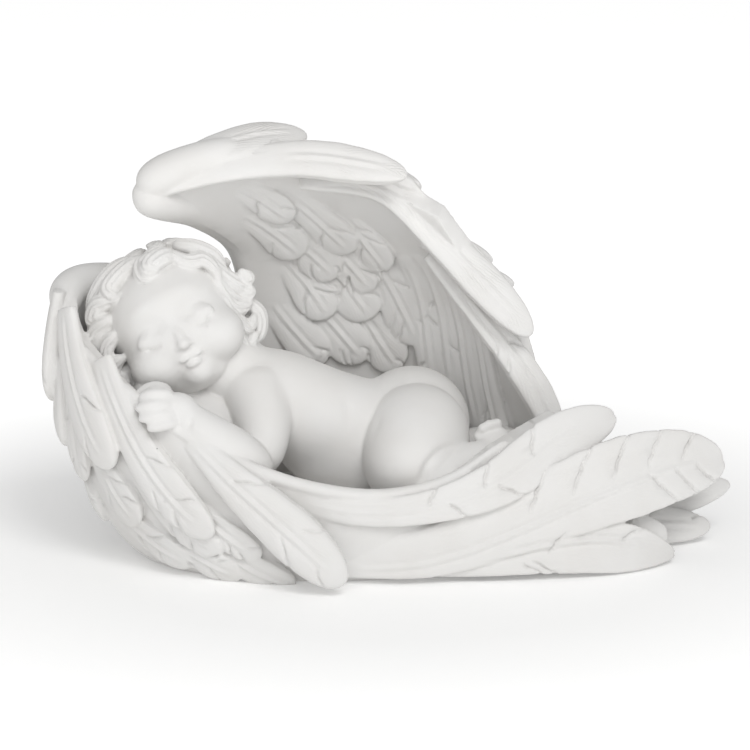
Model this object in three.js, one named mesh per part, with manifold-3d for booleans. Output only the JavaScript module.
// A plaster cherub asleep between two feathered wings, cast in one piece.
// The near wing is the cradle, and the far wing stands up behind the figure and curls over it.
// Millimetres, +Z up, the viewer at -Y. The origin is on the floor, under the middle of the casting.
import * as THREE from "three";
import { mergeVertices } from "three/addons/utils/BufferGeometryUtils.js";
import Module from "manifold-3d";

const wasm = await Module();
wasm.setup();

// Driving dimensions. The pose below is drawn for a casting 240 mm long, and follows LENGTH.
const LENGTH = 240;
const DRAWN_LENGTH = 240;
const UNIT = LENGTH / DRAWN_LENGTH;
const CRADLE_WALL = 7;
const CANOPY_WALL = 7;
const PLUME_THICKNESS = 4.2;
const COVERT_THICKNESS = 3;
const BED_HEIGHT = 27;
const PILLOW_HEIGHT = 64;
const FOOT_SINK = 0.6;

// Facets of each kind of form.
const LIMB_FACETS = { around: 8, along: 5 };
const LOCK_FACETS = { around: 5, along: 5 };
const PLUME_FACETS = { around: 6, along: 4 };
const QUILL_FACETS = { around: 6, along: 6 };
const CRADLE_FACETS = { along: 13, up: 4 };
const CANOPY_FACETS = { along: 8, up: 4 };

const point = ([x, y, z]) => new THREE.Vector3(x, y, z).multiplyScalar(UNIT);
const clamp = (value, low, high) => Math.min(high, Math.max(low, value));

// A closed geometry as a solid. Its faces may come out turned in, which the sign of its volume shows.
function solidOf(geometry) {
  const bare = geometry.clone();
  bare.deleteAttribute("normal");
  bare.deleteAttribute("uv");
  const merged = mergeVertices(bare, 1e-4);
  const vertProperties = merged.attributes.position.array;
  const triVerts = new Uint32Array(merged.index.array);
  const made = new wasm.Manifold(new wasm.Mesh({ numProp: 3, vertProperties, triVerts }));
  if (made.volume() > 0) return made;
  for (let i = 0; i < triVerts.length; i += 3) {
    [triVerts[i + 1], triVerts[i + 2]] = [triVerts[i + 2], triVerts[i + 1]];
  }
  return new wasm.Manifold(new wasm.Mesh({ numProp: 3, vertProperties, triVerts }));
}

// An ellipsoid, given its centre, its three half-sizes and its turns about X, Y and Z in degrees.
function lobe(centre, half, turns = [0, 0, 0], facets = [14, 10]) {
  const ball = new THREE.SphereGeometry(1, ...facets);
  const radians = turns.map(THREE.MathUtils.degToRad);
  const turn = new THREE.Quaternion().setFromEuler(new THREE.Euler(...radians, "XYZ"));
  ball.applyMatrix4(new THREE.Matrix4().compose(point(centre), turn, point(half)));
  return solidOf(ball);
}

// How full a limb, a lock and a plume are at each share of their length, and where their rings stand:
// close together at both ends of a limb, and at a plume's tip, whose root is buried.
const FULLNESS = {
  limb: (share) => Math.sqrt(1 - Math.abs(2 * share - 1) ** 3.2),
  lock: (share) => Math.sqrt(1 - Math.abs(2 * share - 1) ** 4) * (1 - 0.35 * share),
  plume: (share) => (0.55 + 0.45 * Math.min(1, 1.5 * share)) * Math.sqrt(1 - Math.max(0, share) ** 7),
};
const SPACING = {
  limb: (turn) => (1 - Math.cos(turn)) / 2,
  lock: (turn) => (turn / Math.PI + (1 - Math.cos(turn)) / 2) / 2,
  plume: (turn) => Math.sin(turn / 2),
};

const upward = () => new THREE.Vector3(0, 0, 1);

// A closed body swept along a path: a ball whose poles are the path's two ends.
// wide and thick are half-sizes at each share of the length, and out(place) is the way its face looks.
function swept({ path, wide, thick = wide, out = upward, form, facets, square = 1 }) {
  const line = new THREE.CatmullRomCurve3(path.map(point));
  const ball = new THREE.SphereGeometry(1, facets.around, facets.along);
  const at = ball.getAttribute("position");
  for (let i = 0; i < at.count; i++) {
    const unit = new THREE.Vector3().fromBufferAttribute(at, i);
    const share = SPACING[form](Math.acos(clamp(-unit.y, -1, 1)));
    const place = line.getPoint(share);
    const ahead = line.getTangent(share);
    const face = out(place, share).clone();
    face.addScaledVector(ahead, -face.dot(ahead)).normalize();
    const side = new THREE.Vector3().crossVectors(ahead, face);
    const ring = Math.hypot(unit.x, unit.z);
    const full = ring > 1e-6 ? FULLNESS[form](share) : 0;
    const across = ring > 1e-6 ? unit.x / ring : 0;
    const over = ring > 1e-6 ? unit.z / ring : 0;
    place.addScaledVector(side, Math.sign(across) * Math.abs(across) ** square * full * wide(share) * UNIT);
    place.addScaledVector(face, Math.sign(over) * Math.abs(over) ** square * full * thick(share) * UNIT);
    at.setXYZ(i, place.x, place.y, place.z);
  }
  return solidOf(ball);
}

// A limb through its joints, with a half-size at each joint.
function limb(path, halves) {
  const wide = (share) => {
    const place = share * (halves.length - 1);
    const joint = Math.min(Math.floor(place), halves.length - 2);
    return THREE.MathUtils.lerp(halves[joint], halves[joint + 1], place - joint);
  };
  return swept({ path, wide, form: "limb", facets: LIMB_FACETS });
}

// The two wing sheets. Each maps along and up, both 0 to 1, to a place in the drawn pose.
const CRADLE_RIM = [
  [-52, 40, 72], [-92, 28, 90], [-108, 8, 95], [-111, -6, 90], [-106, -18, 80], [-91, -33, 68],
  [-72, -43, 55], [-47, -50, 42], [-23, -52, 34], [1, -50, 31], [23, -44, 35], [42, -34, 46], [61, -22, 54],
];
const CRADLE_FOOT = [
  [-44, 36, 0], [-64, 22, 0], [-74, 4, 0], [-76, -8, 0], [-72, -20, 0], [-62, -30, 0], [-50, -36, 0],
  [-36, -40, 0], [-18, -40, 0], [2, -38, 0], [24, -35, 0], [45, -30, 0], [70, -24, 0],
];
const CANOPY_ROWS = [
  [[-58, 30, 0], [-22, 44, 0], [8, 46, 0], [38, 38, 0], [64, 20, 0]],
  [[-60, 34, 30], [-22, 46, 32], [8, 48, 32], [38, 40, 30], [64, 20, 28]],
  [[-55, 37, 64], [-20, 44, 66], [8, 44, 64], [34, 36, 60], [58, 14, 52]],
  [[-49, 30, 103], [-24, 34, 104], [2, 34, 100], [26, 26, 94], [48, 8, 84]],
  [[-80, -6, 130], [-50, 4, 140], [-20, 7, 140], [0, 4, 134], [22, 0, 122]],
];

const curveOf = (places) => new THREE.CatmullRomCurve3(places, false, "catmullrom", 0.5);
const vectors = (rows) => rows.map((row) => new THREE.Vector3(...row));
const rimLine = curveOf(vectors(CRADLE_RIM));
const footLine = curveOf(vectors(CRADLE_FOOT));
const canopyLines = CANOPY_ROWS.map((row) => curveOf(vectors(row)));

// The cradle's wall lies flat at its foot and stands upright at its rim, as a quarter of an ellipse does.
function cradle(along, up) {
  const rim = rimLine.getPoint(clamp(along, 0, 1));
  const foot = footLine.getPoint(clamp(along, 0, 1));
  const rise = up <= 1 ? 1 - Math.cos((up * Math.PI) / 2) : 1 + ((up - 1) * Math.PI) / 2;
  const outward = up <= 1 ? Math.sin((up * Math.PI) / 2) : 1;
  const place = foot.lerp(rim, outward);
  place.z = rim.z * rise;
  return place;
}

function canopy(along, up) {
  const across = canopyLines.map((line) => line.getPoint(clamp(along, 0, 1)));
  return curveOf(across).getPoint(clamp(up, 0, 1));
}

// The way a sheet's outer face looks at a place on it.
function outwardOf(sheet, along, up, side) {
  const step = 0.01;
  const right = sheet(along + step, up).sub(sheet(along - step, up));
  const high = sheet(along, up + step).sub(sheet(along, up - step));
  return right.cross(high).normalize().multiplyScalar(side);
}

// A wing's wall: a box bent to the sheet, thinning towards its rim.
function wall(sheet, thickness, side, facets) {
  const slab = new THREE.BoxGeometry(1, 1, 1, facets.along, facets.up, 1);
  const at = slab.getAttribute("position");
  for (let i = 0; i < at.count; i++) {
    const along = clamp(at.getX(i) + 0.5, 0.001, 0.999);
    const up = clamp(at.getY(i) + 0.5, 0.001, 0.999);
    const place = sheet(along, up).multiplyScalar(UNIT);
    place.addScaledVector(outwardOf(sheet, along, up, side), (at.getZ(i) - 0.5) * thickness);
    at.setXYZ(i, place.x, place.y, place.z);
  }
  return solidOf(slab);
}

// A feather laid on a sheet from root to tip, both as along and up. It stands proud by lift at the tip.
function laid(sheet, face, { root, tip, half, lift = 2, sink = 1, thickness }) {
  const steps = 4;
  const faces = [];
  const path = [];
  for (let i = 0; i <= steps; i++) {
    const share = i / steps;
    const along = THREE.MathUtils.lerp(root[0], tip[0], share);
    const up = THREE.MathUtils.lerp(root[1], tip[1], share);
    const outward = outwardOf(sheet, along, up, face);
    faces.push(outward);
    const place = sheet(along, up).addScaledVector(outward, THREE.MathUtils.lerp(-sink, lift, share));
    path.push(place.toArray());
  }
  const out = (place, share) => {
    const spot = share * steps;
    const low = Math.min(Math.floor(spot), steps - 1);
    return faces[low].clone().lerp(faces[low + 1], spot - low);
  };
  return swept({
    path, out, wide: () => half, thick: () => thickness / 2, form: "plume", facets: PLUME_FACETS, square: 0.7,
  });
}

// A long feather along its own line, whose face turns from one way at the root to another at the tip.
function quill({ path, halves, faces, thickness = PLUME_THICKNESS }) {
  const [start, end] = faces.map((face) => new THREE.Vector3(...face));
  const wide = (share) => {
    const place = share * (halves.length - 1);
    const low = Math.min(Math.floor(place), halves.length - 2);
    return THREE.MathUtils.lerp(halves[low], halves[low + 1], place - low);
  };
  const out = (place, share) => start.clone().lerp(end, share);
  return swept({
    path, out, wide, thick: () => thickness / 2, form: "plume", facets: QUILL_FACETS, square: 0.7,
  });
}

// The cradle's outer feathers: short coverts under its shoulder, then longer rows towards the floor.
const CRADLE_COVERTS = [
  { root: [0.24, 1.02], tip: [0.235, 0.74], half: 9, lift: 5, thickness: 8 },
  { root: [0.27, 0.88], tip: [0.275, 0.64], half: 8, lift: 3.5, thickness: 7 },
  { root: [0.34, 0.95], tip: [0.33, 0.57], half: 7.5, lift: 3 },
  { root: [0.32, 1.06], tip: [0.42, 0.72], half: 9.5, lift: 4, thickness: 7 },
  { root: [0.4, 1.04], tip: [0.55, 0.6], half: 8.5, lift: 4.5, thickness: 6 },
  { root: [0.24, 0.62], tip: [0.3, 0.38], half: 9, lift: 1.2 },
  { root: [0.36, 0.72], tip: [0.43, 0.5], half: 8, lift: 2 },
  { root: [0.44, 0.76], tip: [0.55, 0.46], half: 7, lift: 2 },
  { root: [0.51, 0.72], tip: [0.6, 0.5], half: 6, lift: 2 },
  { root: [0.35, 0.54], tip: [0.49, 0.31], half: 7, lift: 1.6 },
  { root: [0.44, 0.54], tip: [0.56, 0.26], half: 7, lift: 1.6 },
  { root: [0.52, 0.54], tip: [0.63, 0.2], half: 7, lift: 2 },
  { root: [0.04, 0.96], tip: [0.09, 0.64], half: 11, lift: 3 },
  { root: [0.14, 0.92], tip: [0.17, 0.56], half: 10, lift: 3 },
  { root: [0.07, 0.64], tip: [0.13, 0.32], half: 11, lift: 2.5 },
];

// The cradle's long feathers, which sweep along its front to the right end.
const CRADLE_QUILLS = [
  { path: [[-63, -44, 50], [-47, -52, 36], [-29, -58, 21], [-12, -61, 5]], halves: [7, 9, 9.5, 9.5],
    faces: [[-0.4, -1, 0.1], [-0.1, -1, 0.1]], thickness: 9 },
  { path: [[-30, -50, 31], [-8, -51, 27], [15, -49, 28], [38, -42, 34], [60, -28, 46], [80, -15, 52]],
    halves: [5, 6, 6, 8, 10, 11], faces: [[0, -1, 0], [0.2, -0.8, 0.45]], thickness: 5 },
  { path: [[-17, -44, 14], [16, -43, 13], [47, -40, 20], [75, -30, 29], [99, -18, 34], [119, -6, 34]],
    halves: [7, 8, 10, 12, 14.5, 14], faces: [[0, -1, -0.2], [0.15, -0.8, 0.5]], thickness: 5 },
  { path: [[-10, -36, 7], [23, -37, 6], [54, -36, 8], [80, -28, 11], [101, -15, 6]],
    halves: [6, 6, 8, 10, 9], faces: [[0, -1, -0.3], [0.3, -0.8, 0.3]], thickness: 5 },
  { path: [[50, -16, 9], [80, -6, 11], [100, 2, 8], [117, 8, 6]], halves: [8, 8, 7, 6],
    faces: [[0, -1, 0.3], [0.2, -1, 0.5]], thickness: 6 },
  { path: [[50, -4, 12], [80, 4, 13], [103, 12, 15], [125, 18, 19]], halves: [8, 8, 7, 6],
    faces: [[0, -1, 0.3], [-0.2, -1, 0.5]], thickness: 6 },
  { path: [[36, 22, 10], [66, 20, 12], [92, 19, 9], [110, 20, 6]], halves: [8, 9, 9, 8],
    faces: [[0, 1, 0.4], [0.1, 1, 0.5]], thickness: 6 },
];

// The solid root of the long feathers, between the two wings.
const TAIL_ROOT = { path: [[24, -4, 8], [60, -4, 9], [92, 0, 8]], halves: [24, 19, 8] };

// The canopy's coverts on the face that looks at the figure, in rows from its shoulder down.
const CANOPY_COVERTS = [
  { root: [0.08, 0.62], tip: [0.24, 0.46], half: 8 },
  { root: [0.2, 0.62], tip: [0.37, 0.47], half: 9 },
  { root: [0.34, 0.62], tip: [0.5, 0.46], half: 9 },
  { root: [0.12, 0.74], tip: [0.26, 0.58], half: 8.5 },
  { root: [0.26, 0.74], tip: [0.41, 0.59], half: 9.5 },
  { root: [0.46, 0.78], tip: [0.58, 0.54], half: 9 },
  { root: [0.12, 0.88], tip: [0.2, 0.75], half: 8 },
  { root: [0.16, 0.84], tip: [0.3, 0.69], half: 9 },
  { root: [0.31, 0.8], tip: [0.43, 0.67], half: 9 },
  { root: [0.3, 0.92], tip: [0.41, 0.78], half: 8 },
  { root: [0.44, 0.88], tip: [0.53, 0.75], half: 7.5 },
];

// The long feathers that hang down inside the canopy's right edge, to the floor of the cradle.
const CANOPY_FALLS = [
  { root: [0.62, 0.8], tip: [0.62, 0.42], half: 6 },
  { root: [0.7, 0.82], tip: [0.7, 0.4], half: 6 },
  { root: [0.77, 0.82], tip: [0.78, 0.3], half: 6 },
  { root: [0.84, 0.8], tip: [0.87, 0.2], half: 6 },
];

// The rolled feathers along the canopy's crown and down its right edge.
const CANOPY_QUILLS = [
  { path: [[-76, -7, 130], [-62, -3, 138], [-43, 0, 143], [-25, 2, 144.5]], halves: [6, 9, 9, 7],
    faces: [[-0.3, -0.6, 1], [0, -0.6, 1]], thickness: 7 },
  { path: [[-76, -10, 129], [-51, -8, 136], [-27, -9, 139], [-7, -12, 137], [9, -14, 134]],
    halves: [6, 7, 7.5, 7, 6.5], faces: [[-0.2, -1, 0.4], [0, -1, 0.8]], thickness: 8 },
  { path: [[-28, 2, 130], [0, 0, 127], [20, 1, 110], [38, 0, 92], [52, -3, 77]],
    halves: [5, 6, 6.5, 7.5, 8], faces: [[0, -1, 0.4], [0.5, -1, 0.2]], thickness: 6 },
  { path: [[17, 10, 104], [35, 6, 82], [47, 4, 67], [58, 4, 48], [62, 8, 28]],
    halves: [6, 6.5, 6.5, 6, 6], faces: [[0.4, -1, 0.2], [0.6, -1, 0]], thickness: 6 },
  { path: [[-14, 5, 135], [2, 5, 132], [14, 6, 127]], halves: [8, 8, 7.5], faces: [[0, 0.3, 1], [0.5, 0, 1]],
    thickness: 6 },
  { path: [[4, 6, 121], [26, 12, 107], [39, 14, 100]], halves: [7, 7, 6],
    faces: [[0.6, 0.3, 1], [0.8, 0.2, 0.8]], thickness: 6 },
  { path: [[14, 12, 107], [32, 16, 97], [47, 18, 91]], halves: [6, 6, 5],
    faces: [[0.6, 0.3, 1], [0.8, 0.2, 0.8]], thickness: 6 },
];

// The shoulder of each wing, a rounded roll along its leading edge.
const WING_SHOULDERS = [
  { path: [[-46, 34, 60], [-46, 34, 84], [-50, 27, 105], [-63, 12, 119], [-78, -6, 126], [-83, -10, 129]],
    halves: [5, 5, 5.5, 7, 8, 7] },
  { path: [[-82, -9, 128], [-72, -7, 134], [-55, -3, 139], [-34, 2, 140]], halves: [8, 7, 6.5, 6] },
  { path: [[-54, 37, 70], [-82, 31, 87], [-100, 18, 92], [-108, 4, 91], [-108, -10, 84]],
    halves: [6, 6.5, 7, 7, 6] },
];

// The back of each wing, in rows that run from the shoulder to the tips.
const BACK_ROWS = [
  { count: 4, root: 0.99, tip: 0.68, from: 0.1, to: 0.82, half: 13, sweep: 0.1, lift: 3 },
  { count: 4, root: 0.76, tip: 0.4, from: 0.04, to: 0.84, half: 13, sweep: 0.08, lift: 2.5 },
  { count: 3, root: 0.48, tip: 0.06, from: 0.2, to: 0.76, half: 14, sweep: 0.08, lift: 2.5 },
];

// The cherub lies on its front, its head on its hands and its knees drawn up.
function cherub() {
  const trunk = [
    limb([[-54, -3, 64], [-38, -5, 56], [-12, -2, 44], [14, 3, 43]], [13, 17.5, 18.5, 18]),
    lobe([-8, -3, 38], [28, 18, 17], [0, 0, 0], [10, 5]),
    lobe([11, 5, 44], [20, 22, 20], [0, 0, 0], [11, 6]),
    limb([[-66, -4, 74], [-44, -6, 60]], [13, 15]),
  ];
  const nearArm = [
    limb([[-43, -11, 61], [-41, -26, 50], [-41, -38, 36]], [13.5, 11.5, 8]),
    limb([[-40, -40, 37], [-53, -41, 47], [-63, -38, 55]], [8, 9.4, 7.5]),
    lobe([-71, -37, 59], [11, 8, 7], [0, 28, 0], [9, 6]),
  ];
  const farArm = [
    limb([[-44, 10, 58], [-60, 14, 46], [-74, 2, 48]], [11, 9, 8]),
    limb([[-72, 0, 50], [-76, -14, 58], [-80, -28, 63]], [8, 8, 6]),
  ];
  const nearLeg = [
    limb([[13, 0, 47], [11, -16, 42], [8, -28, 33]], [18, 18, 14]),
    limb([[8, -30, 32], [26, -24, 36], [42, -15, 40]], [11, 8.8, 6]),
    limb([[40, -15, 40], [50, -10, 41], [57, -6, 38]], [6, 5.5, 4.5]),
  ];
  const farLeg = [
    limb([[12, 12, 44], [14, 26, 36], [24, 26, 28]], [17, 15, 11]),
    limb([[22, 26, 28], [40, 18, 32], [52, 8, 36]], [9, 8, 6]),
  ];
  return [...trunk, ...nearArm, ...farArm, ...nearLeg, ...farLeg];
}

// The head leans to the left and looks at the viewer. The places below are in its own frame: x to the
// figure's left cheek, y into the head, z to its crown.
const HEAD_PLACE = [-71, -6, 82];
const HEAD_TURNS = [-4, -28, 6];

function headFrame() {
  const radians = HEAD_TURNS.map(THREE.MathUtils.degToRad);
  const turn = new THREE.Quaternion().setFromEuler(new THREE.Euler(...radians, "XYZ"));
  return new THREE.Matrix4().compose(new THREE.Vector3(...HEAD_PLACE), turn, new THREE.Vector3(1, 1, 1));
}

const onHead = (spot) => new THREE.Vector3(...spot).applyMatrix4(headFrame()).toArray();

function head() {
  const round = (centre, half, facets) => lobe(onHead(centre), half, HEAD_TURNS, facets);
  const parts = [
    round([0, 0, 3], [21.5, 22, 20], [12, 7]),
    round([0, -4, -5], [20.5, 19.5, 17], [12, 7]),
    round([0, -23.5, -5], [3, 4.5, 3], [7, 4]),
    round([0, -22.3, -11], [5, 3, 1.6], [7, 3]),
    round([0, -21.6, -13.4], [4, 3, 1.6], [7, 3]),
    round([0, -16, -18], [6, 6, 4.5], [7, 4]),
  ];
  for (const side of [-1, 1]) {
    parts.push(round([side * 11, -12, -9], [10, 10, 9], [8, 5]));
    parts.push(round([side * 9, -19.3, 0.5], [5, 3.8, 2.6], [7, 4]));
  }
  return parts;
}

// Hair: a cap over the crown, and curls laid on it. A curl is a lock wound inwards on the cap. Its place is
// seen from in front, x and z in the head's frame, or from behind where it is a rear one.
const HAIR_CAP = { centre: [0, 6, 5], half: [26, 22, 23] };
const LOCK_HALF = 4.6;
const LOCK_WIND = 3.7;
const CURLS = [
  { place: [4, 23], radius: 7, spin: -1 },
  { place: [15, 19], radius: 6.5, spin: 1 },
  { place: [22, 11], radius: 6.5, spin: -1 },
  { place: [24, 1], radius: 6, spin: 1 },
  { place: [22, -9], radius: 6, spin: -1 },
  { place: [-6, 26], radius: 6.5, spin: 1 },
  { place: [-14, 20], radius: 7, spin: -1 },
  { place: [-21, 12], radius: 6.5, spin: 1 },
  { place: [-24, 2], radius: 6, spin: -1 },
  { place: [-22, -8], radius: 6, spin: 1 },
  { place: [-17, -15], radius: 5.5, spin: -1 },
  { place: [12, 16], radius: 9, spin: 1, rear: true },
  { place: [-13, 14], radius: 9, spin: -1, rear: true },
  { place: [1, -2], radius: 9, spin: -1, rear: true },
];

function curl({ place, radius, spin, rear = false }) {
  const size = new THREE.Vector3(...HAIR_CAP.half);
  const middleOfCap = new THREE.Vector3(...HAIR_CAP.centre);
  const flat = new THREE.Vector3(place[0], 0, place[1]).sub(middleOfCap).setY(0).divide(size);
  flat.clampLength(0, 0.99);
  const depth = Math.sqrt(1 - flat.lengthSq());
  const way = flat.clone().setY(rear ? depth : -depth);
  const middle = way.clone().multiply(size).add(middleOfCap);
  const normal = way.clone().divide(size).normalize();
  const side = new THREE.Vector3(-normal.y, normal.x, 0).normalize();
  const up = new THREE.Vector3().crossVectors(normal, side);
  const path = [];
  const steps = 5;
  for (let i = 0; i <= steps; i++) {
    const share = i / steps;
    const angle = Math.PI / 2 + spin * share * LOCK_WIND;
    const reach = radius * (1 - 0.5 * share);
    const spot = middle.clone().addScaledVector(normal, 1.5 + 2.5 * share);
    spot.addScaledVector(side, reach * Math.cos(angle)).addScaledVector(up, reach * Math.sin(angle));
    path.push(onHead(spot.toArray()));
  }
  const face = normal.clone().transformDirection(headFrame());
  return swept({ path, wide: () => LOCK_HALF, out: () => face, form: "lock", facets: LOCK_FACETS });
}

function hair() {
  return [lobe(onHead(HAIR_CAP.centre), HAIR_CAP.half, HEAD_TURNS, [12, 8]), ...CURLS.map(curl)];
}

function cradleWing() {
  const parts = [wall(cradle, CRADLE_WALL, 1, CRADLE_FACETS), limb(TAIL_ROOT.path, TAIL_ROOT.halves)];
  for (const feather of CRADLE_COVERTS) {
    parts.push(laid(cradle, 1, { thickness: PLUME_THICKNESS, ...feather }));
  }
  for (const feather of CRADLE_QUILLS) parts.push(quill(feather));
  return parts;
}

function canopyWing() {
  const parts = [wall(canopy, CANOPY_WALL, -1, CANOPY_FACETS)];
  const inside = { thickness: COVERT_THICKNESS, lift: CANOPY_WALL / UNIT + 0.8, sink: -CANOPY_WALL / UNIT };
  for (const feather of CANOPY_COVERTS) parts.push(laid(canopy, 1, { ...inside, ...feather }));
  for (const feather of CANOPY_FALLS) {
    parts.push(laid(canopy, 1, { ...inside, ...feather, thickness: PLUME_THICKNESS }));
  }
  for (const feather of CANOPY_QUILLS) parts.push(quill(feather));
  for (const row of BACK_ROWS) {
    for (let i = 0; i < row.count; i++) {
      const along = THREE.MathUtils.lerp(row.from, row.to, i / (row.count - 1));
      const root = [along, row.root];
      const tip = [along + row.sweep, row.tip];
      parts.push(laid(canopy, -1, { root, tip, half: row.half, lift: row.lift, thickness: PLUME_THICKNESS }));
    }
  }
  return parts;
}

function casting() {
  const shoulders = WING_SHOULDERS.map(({ path, halves }) => limb(path, halves));
  const bed = lobe([-6, 0, 6], [72, 42, BED_HEIGHT - 6], [0, 0, 0], [16, 6]);
  const pillow = lobe([-67, -3, 34], [31, 33, PILLOW_HEIGHT - 34], [0, 0, 0], [10, 6]);
  const parts = [bed, pillow, ...cradleWing(), ...canopyWing(), ...shoulders, ...cherub(), ...head(), ...hair()];
  let whole = parts[0];
  for (const part of parts.slice(1)) whole = whole.add(part);
  const floor = new THREE.BoxGeometry(4 * LENGTH, 4 * LENGTH, LENGTH);
  floor.translate(0, 0, FOOT_SINK * UNIT - LENGTH / 2);
  return whole.subtract(solidOf(floor));
}

// The casting is set down with the middle of its box over the origin.
function geometryOf(solid) {
  const { vertProperties, triVerts } = solid.getMesh();
  const geometry = new THREE.BufferGeometry();
  geometry.setAttribute("position", new THREE.BufferAttribute(new Float32Array(vertProperties), 3));
  geometry.setIndex(new THREE.BufferAttribute(new Uint32Array(triVerts), 1));
  geometry.computeBoundingBox();
  const { min, max } = geometry.boundingBox;
  geometry.translate(-(min.x + max.x) / 2, -(min.y + max.y) / 2, -min.z);
  geometry.computeVertexNormals();
  return geometry;
}

const plaster = new THREE.MeshStandardMaterial({ color: 0xeceae6, roughness: 0.62, metalness: 0 });
const figure = new THREE.Mesh(geometryOf(casting()), plaster);
figure.name = "sleeping_cherub_in_wings";
const group = new THREE.Group();
group.add(figure);

export default group;
